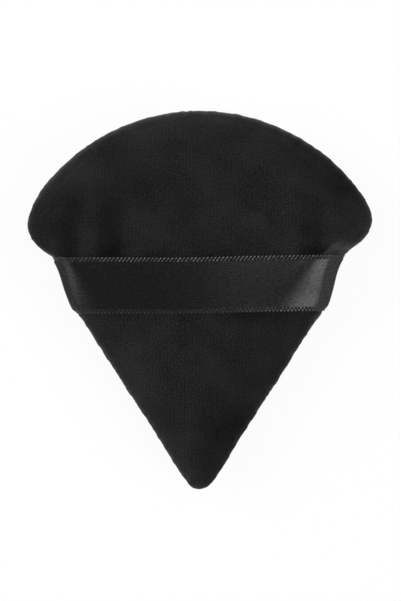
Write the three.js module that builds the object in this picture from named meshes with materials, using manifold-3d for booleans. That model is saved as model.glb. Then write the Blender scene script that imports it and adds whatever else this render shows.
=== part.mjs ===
// A fan-shaped powder puff: two velour faces sewn together, turned right side out and filled,
// with a satin ribbon caught in both side seams as a finger strap over the front.
// Millimetres. X runs across the puff, Y from the tip to the fan arc, Z up through the ribbon.
// The origin lies under the middle of the puff, on the surface that the puff rests on.

import * as THREE from 'three';
import { mergeVertices } from 'three/addons/utils/BufferGeometryUtils.js';
import Module from 'manifold-3d';

const wasm = await Module();
wasm.setup();

// Outline of the sewn puff
const PUFF_LENGTH = 80; // tip to the top of the fan arc
const FAN_RADIUS = 41.7; // arc of the wide end
const SIDE_ANGLE = THREE.MathUtils.degToRad(32.84); // each straight side to the centre line
const TIP_RADIUS = 3.1;
const FAN_CORNER_RADIUS = 8.3;
const WAIST_DEPTH = 3.06; // how far the ribbon draws each side in
const WAIST_ABOVE_RIBBON = 5.5; // deepest point of the waist above the ribbon's middle
const WAIST_REACH_UP = 3;
const WAIST_REACH_DOWN = 7;

// Heights and crowns
const SEAM_HEIGHT = 7; // side seam above the resting surface
const FRONT_CROWN = 8; // front face above the seam
const FLATTENED = 1.6; // how much the back face gives where it rests
const CROWN_MIDDLE_Y = 8; // middle of both crowns
const CROWN_FULLNESS = 3; // higher is flatter on top
const CROWN_ROUNDNESS = 2.2; // higher is blunter at the seam
const CHANNEL_DEPTH = 2; // front face pressed in below the ribbon
const CHANNEL_MARGIN = 1.5; // floor of the channel past each ribbon edge
const CHANNEL_RAMP = 6;

// Cloth, seam and filling
const CLOTH = 1.2; // velour with its pile
const ALLOWANCE_THICKNESS = 0.7; // velour pressed flat in the seam
const STITCH_MARGIN = 0.8; // stitch line inside the cloth at the edge
const TACK_SPACING = 1.6; // tack row inside the stitch line
const RAW_EDGE = 1.4; // cloth left past the tack row
const FILLING_EASE = 0.4; // filling below each face
const CLEARANCE = 0.3; // between pieces that touch

// Ribbon
const RIBBON_WIDTH = 12;
const RIBBON_THICKNESS = 0.4;
const RIBBON_Y = 3.4; // middle of the ribbon
const FINGER_GAP = 5; // ribbon above the channel
const RIBBON_BOW = 0.6; // middle of the ribbon above its shoulders
const SHOULDER_RADIUS = 5;

// Thread
const THREAD_DIAMETER = 0.3;
const THREAD_CLEARANCE = 0.2;
const STITCH_LENGTH = 5.6;
const NEEDLE_SLOT_LENGTH = 1.6;
const NEEDLE_SLOT_WIDTH = 0.8;
const TURNING_GAP = 26; // side left open for turning, closed by hand
const TACK_STITCHES = 3;

// Steps of the faceted surfaces
const TIP_STEPS = 3;
const BELOW_RIBBON_STEPS = 4;
const RIBBON_STEPS = 4;
const ABOVE_RIBBON_STEPS = 2;
const CORNER_STEPS = 4;
const FAN_STEPS = 7;
const LEAST_RISE = 0.5; // of the side above the ribbon
const LEAST_RADIUS = 0.3; // of a corner that an inset leaves without one
const FACE_RINGS = [0.16, 0.31, 0.46, 0.6, 0.73, 0.84, 0.92, 0.975, 1];
const INNER_RINGS = [0.3, 0.58, 0.82, 0.97];
const SHOULDER_STEPS = 5;
const SPAN_STEPS = 12;

const halfGap = CLEARANCE / 2;
const allowanceTop = halfGap + ALLOWANCE_THICKNESS;
const stitchInset = CLOTH + STITCH_MARGIN;
const tackInset = stitchInset + TACK_SPACING;
const allowanceInset = tackInset + RAW_EDGE;
const threadLevel = allowanceTop + THREAD_CLEARANCE + THREAD_DIAMETER / 2;
const threadLock = halfGap + THREAD_DIAMETER / 2;
const fillingBase = threadLevel + THREAD_DIAMETER / 2 + CLEARANCE;
const ribbonLow = RIBBON_Y - RIBBON_WIDTH / 2;
const ribbonHigh = RIBBON_Y + RIBBON_WIDTH / 2;
const ribbonFloor = SEAM_HEIGHT + FRONT_CROWN - CHANNEL_DEPTH + FINGER_GAP;

const velour = new THREE.MeshStandardMaterial({ color: 0x222222, roughness: 0.95, metalness: 0 });
const satin = new THREE.MeshStandardMaterial({ color: 0x1c1c1e, roughness: 0.35, metalness: 0 });
const fibre = new THREE.MeshStandardMaterial({ color: 0xf1efe9, roughness: 1, metalness: 0 });
const cotton = new THREE.MeshStandardMaterial({ color: 0x161616, roughness: 0.7, metalness: 0 });

function evenSteps(from, to, steps) {
  return Array.from({ length: steps + 1 }, (_, k) => from + ((to - from) * k) / steps);
}

// How far the ribbon draws a side in at height y of the outline.
function waist(y) {
  const offset = y - (RIBBON_Y + WAIST_ABOVE_RIBBON);
  const reach = offset > 0 ? WAIST_REACH_UP : WAIST_REACH_DOWN;
  return WAIST_DEPTH * Math.exp(-((offset / reach) ** 2));
}

// Right half of the outline moved in by inset, from the tip up to the top of the fan.
function halfOutline(inset) {
  const along = new THREE.Vector2(Math.sin(SIDE_ANGLE), Math.cos(SIDE_ANGLE));
  const out = new THREE.Vector2(Math.cos(SIDE_ANGLE), -Math.sin(SIDE_ANGLE));
  const tipRadius = Math.max(TIP_RADIUS - inset, LEAST_RADIUS);
  const cornerRadius = Math.max(FAN_CORNER_RADIUS - inset, LEAST_RADIUS);
  const fanRadius = FAN_RADIUS - inset;
  const fanCentre = new THREE.Vector2(0, PUFF_LENGTH / 2 - FAN_RADIUS);
  const sharpTipY = TIP_RADIUS - PUFF_LENGTH / 2 - (TIP_RADIUS - inset) / Math.sin(SIDE_ANGLE);
  const sharpTip = new THREE.Vector2(0, sharpTipY);
  const tipCentre = new THREE.Vector2(0, sharpTipY + tipRadius / Math.sin(SIDE_ANGLE));

  // The corner touches the side and the fan arc, both from inside.
  const start = sharpTip.clone().addScaledVector(out, -cornerRadius).sub(fanCentre);
  const half = start.dot(along);
  const rest = start.lengthSq() - (fanRadius - cornerRadius) ** 2;
  const toCorner = -half + Math.sqrt(half * half - rest);
  const cornerCentre = start.addScaledVector(along, toCorner).add(fanCentre);
  const fanEnd = cornerCentre.clone().sub(fanCentre).angle();

  const points = [];
  const arc = (centre, radius, from, to, steps) => {
    for (const angle of evenSteps(from, to, steps).slice(0, -1)) {
      points.push(new THREE.Vector2(Math.cos(angle), Math.sin(angle)).multiplyScalar(radius).add(centre));
    }
  };
  arc(tipCentre, tipRadius, -Math.PI / 2, -SIDE_ANGLE, TIP_STEPS);
  const sideStart = tipCentre.clone().addScaledVector(out, tipRadius);
  const sideEnd = cornerCentre.clone().addScaledVector(out, cornerRadius);
  const ribbonEnd = Math.min(ribbonHigh, sideEnd.y - LEAST_RISE);
  const side = (from, to, steps) => {
    for (const y of evenSteps(from, to, steps).slice(0, -1)) {
      points.push(sideStart.clone().lerp(sideEnd, (y - sideStart.y) / (sideEnd.y - sideStart.y)));
    }
  };
  side(sideStart.y, ribbonLow, BELOW_RIBBON_STEPS);
  side(ribbonLow, ribbonEnd, RIBBON_STEPS);
  side(ribbonEnd, sideEnd.y, ABOVE_RIBBON_STEPS);
  arc(cornerCentre, cornerRadius, -SIDE_ANGLE, fanEnd, CORNER_STEPS);
  arc(fanCentre, fanRadius, fanEnd, Math.PI / 2, FAN_STEPS);
  points.push(new THREE.Vector2(0, fanCentre.y + fanRadius));
  for (const point of points) {
    point.x = Math.max(0, point.x - waist(point.y));
  }
  return points;
}

// The whole outline, anticlockwise from the tip.
function outline(inset) {
  const right = halfOutline(inset);
  const left = right.slice(1, -1).reverse();
  return [...right, ...left.map((point) => new THREE.Vector2(-point.x, point.y))];
}

// Half width of the faceted outline at height y.
function halfWidth(inset, y) {
  const points = halfOutline(inset);
  for (let k = 0; k + 1 < points.length; k++) {
    const low = points[k];
    const high = points[k + 1];
    if (y >= low.y && y <= high.y) {
      return low.x + ((high.x - low.x) * (y - low.y)) / (high.y - low.y);
    }
  }
  return 0;
}

function crown(share) {
  return (1 - share ** CROWN_FULLNESS) ** (1 / CROWN_ROUNDNESS);
}

// How much of the channel's depth lies at y: all of it below the ribbon, none far away.
function channel(y) {
  const floor = RIBBON_WIDTH / 2 + CHANNEL_MARGIN;
  return 1 - THREE.MathUtils.smoothstep(Math.abs(y - RIBBON_Y), floor, floor + CHANNEL_RAMP);
}

const frontFace = { side: 1, top: FRONT_CROWN, limit: Infinity, channel: CHANNEL_DEPTH / FRONT_CROWN };
const backFace = { side: -1, top: SEAM_HEIGHT + FLATTENED, limit: SEAM_HEIGHT, channel: 0 };

// Distance of a face from the seam: base at the edge, and depth below the outer surface.
function faceHeight(face, base, depth, share, y) {
  const swell = (face.top - depth - base) * crown(share) * (1 - face.channel * channel(y));
  return Math.min(base + swell, face.limit - depth);
}

// One ring of a face: the outline at inset, shrunk to share about the middle of the crown.
function faceRing(face, inset, base, depth, share) {
  const middle = new THREE.Vector2(0, CROWN_MIDDLE_Y);
  return outline(inset).map((point) => {
    const place = point.sub(middle).multiplyScalar(share).add(middle);
    const rise = faceHeight(face, base, depth, share, place.y);
    return new THREE.Vector3(place.x, place.y, SEAM_HEIGHT + face.side * rise);
  });
}

function facePeak(face, base, depth) {
  const rise = faceHeight(face, base, depth, 0, CROWN_MIDDLE_Y);
  return [new THREE.Vector3(0, CROWN_MIDDLE_Y, SEAM_HEIGHT + face.side * rise)];
}

function flatRing(face, inset, rise) {
  const z = SEAM_HEIGHT + face.side * rise;
  return outline(inset).map((point) => new THREE.Vector3(point.x, point.y, z));
}

// A closed solid from a stack of rings. A ring of one point closes an end, and an open end
// is closed across, from each point to the one that faces it.
function loft(rings) {
  const positions = rings.flatMap((ring) => ring.flatMap((point) => point.toArray()));
  const starts = [];
  let pointCount = 0;
  for (const ring of rings) {
    starts.push(pointCount);
    pointCount += ring.length;
  }
  const faces = [];
  for (let k = 0; k + 1 < rings.length; k++) {
    const low = rings[k].length;
    const high = rings[k + 1].length;
    const count = Math.max(low, high);
    for (let i = 0; i < count; i++) {
      const next = (i + 1) % count;
      const a = starts[k] + (i % low);
      const b = starts[k] + (next % low);
      const c = starts[k + 1] + (next % high);
      const d = starts[k + 1] + (i % high);
      if (low > 1) faces.push([a, b, d]);
      if (high > 1) faces.push([b, c, d]);
    }
  }
  const close = (start, count, turn) => {
    for (let k = 0; k + 1 < count / 2; k++) {
      const quad = [k, k + 1, count - 2 - k, count - 1 - k].map((i) => start + i);
      const [a, b, c, d] = turn ? quad : quad.reverse();
      faces.push([a, b, c], [a, c, d]);
    }
  };
  if (rings[0].length > 1) close(starts[0], rings[0].length, false);
  if (rings.at(-1).length > 1) close(starts.at(-1), rings.at(-1).length, true);

  const corner = (i) => new THREE.Vector3().fromArray(positions, 3 * i);
  let volume = 0;
  for (const [a, b, c] of faces) volume += corner(a).dot(corner(b).cross(corner(c)));
  const index = volume > 0 ? faces.flat() : faces.flatMap(([a, b, c]) => [a, c, b]);
  const geometry = new THREE.BufferGeometry();
  geometry.setAttribute('position', new THREE.Float32BufferAttribute(positions, 3));
  geometry.setIndex(index);
  return geometry;
}

function solidFrom(geometry) {
  const bare = geometry.clone();
  bare.deleteAttribute('normal');
  bare.deleteAttribute('uv');
  const merged = mergeVertices(bare);
  const vertProperties = Float32Array.from(merged.attributes.position.array);
  const triVerts = Uint32Array.from(merged.index.array);
  return new wasm.Manifold(new wasm.Mesh({ numProp: 3, vertProperties, triVerts }));
}

function geometryFrom(solid) {
  const { vertProperties, triVerts } = solid.getMesh();
  const geometry = new THREE.BufferGeometry();
  geometry.setAttribute('position', new THREE.BufferAttribute(vertProperties, 3));
  geometry.setIndex(new THREE.BufferAttribute(triVerts, 1));
  return geometry;
}

// The place at a given length along the outline at inset, from the tip round and back to it.
function placeAlong(inset, length) {
  const line = outline(inset);
  let rest = THREE.MathUtils.euclideanModulo(length, outlineLength(inset));
  for (let k = 0; k < line.length; k++) {
    const step = line[(k + 1) % line.length].clone().sub(line[k]);
    if (rest <= step.length()) {
      const point = line[k].clone().addScaledVector(step, rest / step.length());
      return { point, angle: step.angle() };
    }
    rest -= step.length();
  }
  return { point: line[0], angle: 0 };
}

// Needle places along the outline at inset, evenly spaced from one length to another.
function needlePlaces(inset, from, to, count) {
  const spacing = (to - from) / count;
  return Array.from({ length: count }, (_, n) => placeAlong(inset, from + spacing * (n + 0.5)));
}

function outlineLength(inset) {
  const line = outline(inset);
  return line.reduce((sum, point, k) => sum + point.distanceTo(line[(k + 1) % line.length]), 0);
}

// Length along the right half of the outline at inset, from the tip up to height y.
function lengthUpTo(inset, y) {
  const points = halfOutline(inset);
  let walked = 0;
  for (let k = 0; k + 1 < points.length && points[k].y < y; k++) {
    const share = Math.min(1, (y - points[k].y) / (points[k + 1].y - points[k].y));
    walked += share * points[k].distanceTo(points[k + 1]);
  }
  return walked;
}

// The closing stitches lie on the left side, half way between the tip and the ribbon.
const seamLength = outlineLength(stitchInset);
const gapMiddle = seamLength - lengthUpTo(stitchInset, ribbonLow) / 2;
const gapStart = gapMiddle - TURNING_GAP / 2;
const gapEnd = gapMiddle + TURNING_GAP / 2;
const seamCount = Math.round((seamLength - TURNING_GAP) / STITCH_LENGTH);
const closingCount = Math.max(2, Math.round(TURNING_GAP / STITCH_LENGTH));

// The machine seam starts at the tip end of the gap and runs round to its ribbon end.
const seamPlaces = needlePlaces(stitchInset, gapEnd - seamLength, gapStart, seamCount);
const closingPlaces = needlePlaces(stitchInset, gapStart, gapEnd, closingCount);
const tackLow = lengthUpTo(tackInset, ribbonLow);
const tackHigh = lengthUpTo(tackInset, ribbonHigh);
const rightTackPlaces = needlePlaces(tackInset, tackLow, tackHigh, TACK_STITCHES);
const tackLength = outlineLength(tackInset);
const leftTackPlaces = needlePlaces(tackInset, tackLength - tackHigh, tackLength - tackLow, TACK_STITCHES);

const needleSlots = [...seamPlaces, ...closingPlaces, ...rightTackPlaces, ...leftTackPlaces]
  .map(({ point, angle }) => {
    const reach = 2 * (allowanceTop + THREAD_CLEARANCE);
    const slot = new THREE.BoxGeometry(NEEDLE_SLOT_LENGTH, NEEDLE_SLOT_WIDTH, reach);
    return solidFrom(slot.rotateZ(angle).translate(point.x, point.y, SEAM_HEIGHT));
  })
  .reduce((all, slot) => all.add(slot));

// Plan of a ribbon end in the seam, grown by ease on every edge.
function tailSolid(side, ease) {
  const low = ribbonLow - ease;
  const high = ribbonHigh + ease;
  const heights = evenSteps(low, high, RIBBON_STEPS);
  const outer = heights.map((y) => new THREE.Vector2(side * (halfWidth(0, y) + ease), y));
  const inner = heights.map((y) => new THREE.Vector2(side * (halfWidth(allowanceInset, y) - ease), y));
  const plan = new THREE.Shape([...outer, ...inner.reverse()]);
  const depth = RIBBON_THICKNESS + 2 * ease;
  const geometry = new THREE.ExtrudeGeometry(plan, { depth, bevelEnabled: false });
  return solidFrom(geometry.translate(0, 0, SEAM_HEIGHT - depth / 2));
}

// A velour face: the crown outside, its lining side inside, and the allowance turned in along the seam.
function velourPanel(face) {
  const rings = [facePeak(face, halfGap, 0)];
  for (const share of FACE_RINGS) rings.push(faceRing(face, 0, halfGap, 0, share));
  rings.push(flatRing(face, allowanceInset, halfGap));
  rings.push(flatRing(face, allowanceInset, allowanceTop));
  rings.push(flatRing(face, CLOTH, allowanceTop));
  for (const share of INNER_RINGS.toReversed()) rings.push(faceRing(face, CLOTH, allowanceTop, CLOTH, share));
  rings.push(facePeak(face, allowanceTop, CLOTH));
  const pockets = [1, -1].map((side) => tailSolid(side, CLEARANCE));
  return geometryFrom(solidFrom(loft(rings)).subtract(needleSlots).subtract(pockets[0]).subtract(pockets[1]));
}

// The fibre pad fills both faces and leaves a groove for the allowances.
function fibrePad() {
  const lowered = (ring, face) => ring.map((point) => {
    const rise = Math.abs(point.z - SEAM_HEIGHT) - FILLING_EASE;
    return point.setZ(SEAM_HEIGHT + face.side * Math.max(rise, fillingBase));
  });
  const half = (face) => [
    lowered(facePeak(face, allowanceTop, CLOTH), face),
    ...INNER_RINGS.map((share) => lowered(faceRing(face, CLOTH, allowanceTop, CLOTH, share), face)),
    flatRing(face, allowanceInset + CLEARANCE, fillingBase),
  ];
  return loft([...half(backFace), ...half(frontFace).reverse()]);
}

// Profile of the ribbon at height y, as pairs of outer and inner points from the right leg to the left.
function ribbonProfile(y) {
  const legX = halfWidth(0, y) + CLEARANCE;
  const shoulderX = legX - SHOULDER_RADIUS;
  const shoulderZ = ribbonFloor - SHOULDER_RADIUS;
  const foot = SEAM_HEIGHT - RIBBON_THICKNESS / 2;
  const pair = (x, z, outX, outZ) => ({
    inner: new THREE.Vector3(x, y, z),
    outer: new THREE.Vector3(x + RIBBON_THICKNESS * outX, y, z + RIBBON_THICKNESS * outZ),
  });
  const right = [pair(legX, foot, 1, 0)];
  for (let k = 0; k <= SHOULDER_STEPS; k++) {
    const angle = (Math.PI / 2) * (k / SHOULDER_STEPS);
    const x = shoulderX + SHOULDER_RADIUS * Math.cos(angle);
    const z = shoulderZ + SHOULDER_RADIUS * Math.sin(angle);
    right.push(pair(x, z, Math.cos(angle), Math.sin(angle)));
  }
  for (let k = 1; k <= SPAN_STEPS / 2; k++) {
    const share = 1 - (2 * k) / SPAN_STEPS;
    const bow = RIBBON_BOW * Math.cos((Math.PI / 2) * share) ** 2;
    right.push(pair(shoulderX * share, ribbonFloor + bow, 0, 1));
  }
  const mirror = (point) => new THREE.Vector3(-point.x, point.y, point.z);
  const left = right.slice(0, -1).reverse();
  return [...right, ...left.map(({ inner, outer }) => ({ inner: mirror(inner), outer: mirror(outer) }))];
}

function ribbonLoop() {
  const profiles = evenSteps(ribbonLow, ribbonHigh, RIBBON_STEPS).map(ribbonProfile);
  const rings = profiles[0].map((_, i) => {
    const outer = profiles.map((profile) => profile[i].outer);
    const inner = profiles.map((profile) => profile[i].inner);
    return [...outer, ...inner.reverse()];
  });
  return loft(rings);
}

// A path through given points, straight from each one to the next.
class StitchPath extends THREE.Curve {
  constructor(points) {
    super();
    this.points = points;
  }

  getPoint(t) {
    const place = t * (this.points.length - 1);
    const k = Math.min(Math.floor(place), this.points.length - 2);
    return this.points[k].clone().lerp(this.points[k + 1], place - k);
  }

  getPointAt(u) {
    return this.getPoint(u);
  }

  getTangentAt(u) {
    return this.getTangent(u);
  }
}

function threadAlong(points) {
  const section = new THREE.Shape();
  section.absarc(0, 0, THREAD_DIAMETER / 2, 0, 2 * Math.PI);
  return new THREE.ExtrudeGeometry(section, {
    curveSegments: 3,
    steps: points.length - 1,
    extrudePath: new StitchPath(points),
    bevelEnabled: false,
  });
}

// A point at rise above the seam, shifted along the stitch line from a needle place.
function threadPoint({ point, angle }, shift, rise) {
  const x = point.x + shift * Math.cos(angle);
  const y = point.y + shift * Math.sin(angle);
  return new THREE.Vector3(x, y, SEAM_HEIGHT + rise);
}

const slotReach = NEEDLE_SLOT_LENGTH / 2 - THREAD_CLEARANCE;

// One thread of the lockstitch lies on its own side and dips into each needle slot.
function lockstitchThread(places, side) {
  return threadAlong(places.flatMap((place) => [
    threadPoint(place, -slotReach, side * threadLevel),
    threadPoint(place, 0, side * threadLock),
    threadPoint(place, slotReach, side * threadLevel),
  ]));
}

// A hand thread goes down through one slot and up through the next.
function runningThread(places) {
  return threadAlong(places.flatMap((place, k) => {
    const side = k % 2 === 0 ? 1 : -1;
    return [
      threadPoint(place, -slotReach, side * threadLevel),
      threadPoint(place, slotReach, -side * threadLevel),
    ];
  }));
}

const puff = new THREE.Group();
function addPiece(name, geometry, material) {
  const mesh = new THREE.Mesh(geometry, material);
  mesh.name = name;
  puff.add(mesh);
}

addPiece('front_panel', velourPanel(frontFace), velour);
addPiece('back_panel', velourPanel(backFace), velour);
addPiece('filling', fibrePad(), fibre);
addPiece('ribbon_band', ribbonLoop(), satin);
addPiece('left_ribbon_tail', geometryFrom(tailSolid(-1, 0).subtract(needleSlots)), satin);
addPiece('right_ribbon_tail', geometryFrom(tailSolid(1, 0).subtract(needleSlots)), satin);
addPiece('seam_needle_thread', lockstitchThread(seamPlaces, 1), cotton);
addPiece('seam_bobbin_thread', lockstitchThread(seamPlaces, -1), cotton);
addPiece('left_tack_thread', runningThread(leftTackPlaces), cotton);
addPiece('right_tack_thread', runningThread(rightTackPlaces), cotton);
addPiece('closing_thread', runningThread(closingPlaces), cotton);

export default puff;
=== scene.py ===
import math

import bpy
import numpy as np
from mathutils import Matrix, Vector


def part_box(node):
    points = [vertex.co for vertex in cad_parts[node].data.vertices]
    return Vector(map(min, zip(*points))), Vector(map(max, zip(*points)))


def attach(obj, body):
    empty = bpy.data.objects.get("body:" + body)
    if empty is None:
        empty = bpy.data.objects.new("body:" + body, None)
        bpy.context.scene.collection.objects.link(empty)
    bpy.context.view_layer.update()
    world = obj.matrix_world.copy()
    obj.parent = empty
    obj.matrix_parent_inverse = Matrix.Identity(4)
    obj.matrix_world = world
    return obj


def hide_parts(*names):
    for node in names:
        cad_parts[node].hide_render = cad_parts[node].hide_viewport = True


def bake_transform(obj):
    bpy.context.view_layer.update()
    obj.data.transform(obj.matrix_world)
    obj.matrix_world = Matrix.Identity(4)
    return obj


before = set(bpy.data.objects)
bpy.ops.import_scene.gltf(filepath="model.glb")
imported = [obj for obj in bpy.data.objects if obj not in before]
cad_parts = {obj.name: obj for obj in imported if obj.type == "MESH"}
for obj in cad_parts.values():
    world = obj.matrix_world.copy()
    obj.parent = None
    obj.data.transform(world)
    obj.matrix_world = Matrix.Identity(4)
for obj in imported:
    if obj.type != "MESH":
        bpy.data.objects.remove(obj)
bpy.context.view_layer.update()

MM = 0.001

# Front face of the puff: black cotton velour cut to a fan, sewn to the back face with its
# right side in, then turned out and filled. The pile is outside and the allowance inside.
band_low, band_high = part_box("ribbon_band")
tail_low, tail_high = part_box("left_ribbon_tail")
front_low, front_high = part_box("front_panel")
RIBBON_LOW, RIBBON_HIGH = band_low.y, band_high.y
RIBBON_Y = (RIBBON_LOW + RIBBON_HIGH) / 2
RIBBON_WIDTH = RIBBON_HIGH - RIBBON_LOW
SEAM = (tail_low.z + tail_high.z) / 2
PUFF_LENGTH = front_high.y - front_low.y
FAN_RADIUS = 41.7 * MM
SIDE_ANGLE = math.radians(32.84)
TIP_RADIUS = 3.1 * MM
FAN_CORNER_RADIUS = 8.3 * MM
LEAST_RADIUS = 0.3 * MM
WAIST_DEPTH = {"left": 3.06 * MM, "right": 3.4 * MM}
WAIST_Y = {"left": RIBBON_Y + 4.8 * MM, "right": RIBBON_Y + 5.5 * MM}
WAIST_REACH_UP = {"left": 2.1 * MM, "right": 3.7 * MM}
WAIST_REACH_DOWN = {"left": 6.4 * MM, "right": 7 * MM}
WAIST_TURN = {"left": 1.5, "right": 2.2}
# Small swells and dents of the two sides, by the filling: middle, reach and height
SIDE_SWELLS = {
    "left": (
        (19.5 * MM, 2.2 * MM, -0.38 * MM), (9.1 * MM, 0.9 * MM, 0.28 * MM), (-3.4 * MM, 0.9 * MM, 0.25 * MM),
        (-26 * MM, 5 * MM, -0.17 * MM), (-38.8 * MM, 1.2 * MM, -0.3 * MM),
    ),
    "right": (
        (26 * MM, 8 * MM, 0.24 * MM), (14.2 * MM, 1.8 * MM, -0.35 * MM), (9.9 * MM, 0.7 * MM, 0.24 * MM),
        (-3 * MM, 1.1 * MM, 0.3 * MM), (-9 * MM, 4 * MM, -0.2 * MM), (-35.5 * MM, 4 * MM, 0.38 * MM),
    ),
}
FRONT_CROWN = 8 * MM
CROWN_MIDDLE = np.array([0, 8 * MM])
CROWN_FULLNESS = 3
CROWN_ROUNDNESS = 2.2
CHANNEL_SHARE = 0.25
CHANNEL_FLOOR = RIBBON_WIDTH / 2 + 1.5 * MM
CHANNEL_RAMP = 6 * MM
CLOTH = 1.2 * MM
SEAM_GAP = 0.15 * MM
RIBBON_POCKET, POCKET_MARGIN = 0.2 * MM, 0.5 * MM
EDGE_ROLL = 0.35 * MM
ALLOWANCE_TOP = 0.85 * MM
ALLOWANCE_INSET = 5 * MM
TIP_STEPS, SIDE_STEPS, CORNER_STEPS, FAN_STEPS = 24, 240, 48, 96
EDGE_POINTS = 704
FACE_RINGS = 116
ROLL_STEPS = 5
LINING_SHARES = (0.97, 0.9, 0.78, 0.62, 0.46, 0.3, 0.15)
GRAIN_CELLS = 256


def ramp(value, start, end):
    """0 before start and 1 after end, with a soft turn at both."""
    t = np.clip((value - start) / (end - start), 0, 1)
    return t * t * (3 - 2 * t)


def fade(value, start, end):
    return 1 - ramp(value, start, end)


def hump(value, middle, reach):
    """1 at the middle, and falling off softly over the reach."""
    return np.exp(-(((value - middle) / reach) ** 2))


def soft_min(a, b, rounding):
    return (a + b - np.sqrt((a - b) ** 2 + rounding ** 2)) / 2


def grain(x, y, pitch, seed):
    """Soft random heights from -1 to 1 that change over about one pitch."""
    table = np.random.default_rng(seed).uniform(-1, 1, (GRAIN_CELLS, GRAIN_CELLS))
    column, row = np.floor(x / pitch).astype(int), np.floor(y / pitch).astype(int)
    across, up = ramp(x / pitch - column, 0, 1), ramp(y / pitch - row, 0, 1)
    column, row, next_column, next_row = (k % GRAIN_CELLS for k in (column, row, column + 1, row + 1))
    low = table[column, row] * (1 - across) + table[next_column, row] * across
    high = table[column, next_row] * (1 - across) + table[next_column, next_row] * across
    return low * (1 - up) + high * up


def waist(y, side):
    """How far the ribbon draws a side of the puff in: softly below, and more sharply above."""
    off = y - WAIST_Y[side]
    above = np.exp(-((np.maximum(off, 0) / WAIST_REACH_UP[side]) ** WAIST_TURN[side]))
    return WAIST_DEPTH[side] * np.where(off > 0, above, hump(off, 0, WAIST_REACH_DOWN[side]))


def half_outline(inset, side):
    """One half of the sewn outline moved in by inset, from the tip up to the fan, laid to the right."""
    along = np.array([math.sin(SIDE_ANGLE), math.cos(SIDE_ANGLE)])
    out = np.array([along[1], -along[0]])
    tip_radius = max(TIP_RADIUS - inset, LEAST_RADIUS)
    corner_radius = max(FAN_CORNER_RADIUS - inset, LEAST_RADIUS)
    fan_radius = FAN_RADIUS - inset
    fan_middle = np.array([0, PUFF_LENGTH / 2 - FAN_RADIUS])
    sharp_tip = np.array([0, TIP_RADIUS - PUFF_LENGTH / 2 - (TIP_RADIUS - inset) / along[0]])
    tip_middle = sharp_tip + np.array([0, tip_radius / along[0]])
    start = sharp_tip - corner_radius * out - fan_middle
    half = start @ along
    to_corner = -half + math.sqrt(half ** 2 - start @ start + (fan_radius - corner_radius) ** 2)
    corner_middle = start + to_corner * along + fan_middle
    fan_end = math.atan2(*(corner_middle - fan_middle)[::-1])

    def arc(middle, radius, first, last, steps):
        turn = np.linspace(first, last, steps)
        return middle + radius * np.stack([np.cos(turn), np.sin(turn)], 1)

    straight = np.linspace(tip_middle + tip_radius * out, corner_middle + corner_radius * out, SIDE_STEPS)
    points = np.concatenate([
        arc(tip_middle, tip_radius, -math.pi / 2, -SIDE_ANGLE, TIP_STEPS),
        straight[1:-1],
        arc(corner_middle, corner_radius, -SIDE_ANGLE, fan_end, CORNER_STEPS),
        arc(fan_middle, fan_radius, fan_end, math.pi / 2, FAN_STEPS)[1:],
    ])
    bulge = sum(height * hump(points[:, 1], middle, reach) for middle, reach, height in SIDE_SWELLS[side])
    points[:, 0] += np.minimum(points[:, 0] / TIP_RADIUS, 1) * (bulge - waist(points[:, 1], side))
    return points


def outline(inset, count):
    """The whole sewn outline moved in by inset, as evenly spaced points, anticlockwise from the tip."""
    right, left = half_outline(inset, "right"), half_outline(inset, "left")
    whole = np.concatenate([right, left[-2::-1] * [-1, 1]])
    walked = np.concatenate([[0], np.cumsum(np.linalg.norm(np.diff(whole, axis=0), axis=1))])
    stops = np.linspace(0, walked[-1], count + 1)[:-1]
    return np.stack([np.interp(stops, walked, whole[:, k]) for k in (0, 1)], 1)


def half_width(inset, y, side):
    points = half_outline(inset, side)
    rising = points[:np.argmax(points[:, 0]) + 1]
    return np.interp(y, rising[:, 1], rising[:, 0])


def crown(share):
    return np.clip(1 - share ** CROWN_FULLNESS, 0, 1) ** (1 / CROWN_ROUNDNESS)


def channel(y):
    """1 below the ribbon and 0 away from it."""
    return fade(np.abs(y - RIBBON_Y), CHANNEL_FLOOR, CHANNEL_FLOOR + CHANNEL_RAMP)


# Soft folds above the ribbon, where it gathers the face: middle, half width, height and top
FRONT_FOLDS = (
    (-29.6 * MM, 2.0 * MM, 0.42 * MM, 20 * MM),
    (-25.5 * MM, 2.1 * MM, -0.70 * MM, 24 * MM),
    (-21.3 * MM, 2.2 * MM, 0.62 * MM, 27 * MM),
    (-16.3 * MM, 2.3 * MM, -0.85 * MM, 27 * MM),
    (-10.8 * MM, 2.8 * MM, 0.22 * MM, 24 * MM),
    (-4.6 * MM, 2.6 * MM, -0.25 * MM, 21 * MM),
    (21.2 * MM, 2.3 * MM, 0.60 * MM, 23 * MM),
    (25.4 * MM, 2.3 * MM, -1.0 * MM, 25 * MM),
    (30.2 * MM, 1.9 * MM, 0.45 * MM, 19 * MM),
)
FOLD_FOOT = 2 * MM
FOLD_FADE = 14 * MM
CREASE = np.array([[9.8, 20.1], [15, 17.6]]) * MM
CREASE_BEND = 0.15 * MM
CREASE_REACH = 0.55 * MM
CREASE_DEPTH = 0.3 * MM
CREASE_FADE = 0.5
CORNER_FOLD = np.array([[26.3, 10.2], [27.4, 11.4]]) * MM
CORNER_FOLD_HEIGHT = 0.7 * MM
CORNER_FOLD_RISE, CORNER_FOLD_FALL = (-0.3 * MM, 0.5 * MM), (1.5 * MM, 4.5 * MM)
CORNER_FOLD_FOOT, CORNER_FOLD_TOP = (RIBBON_HIGH - 3 * MM, RIBBON_HIGH - MM), (11.3 * MM, 13.3 * MM)


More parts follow.
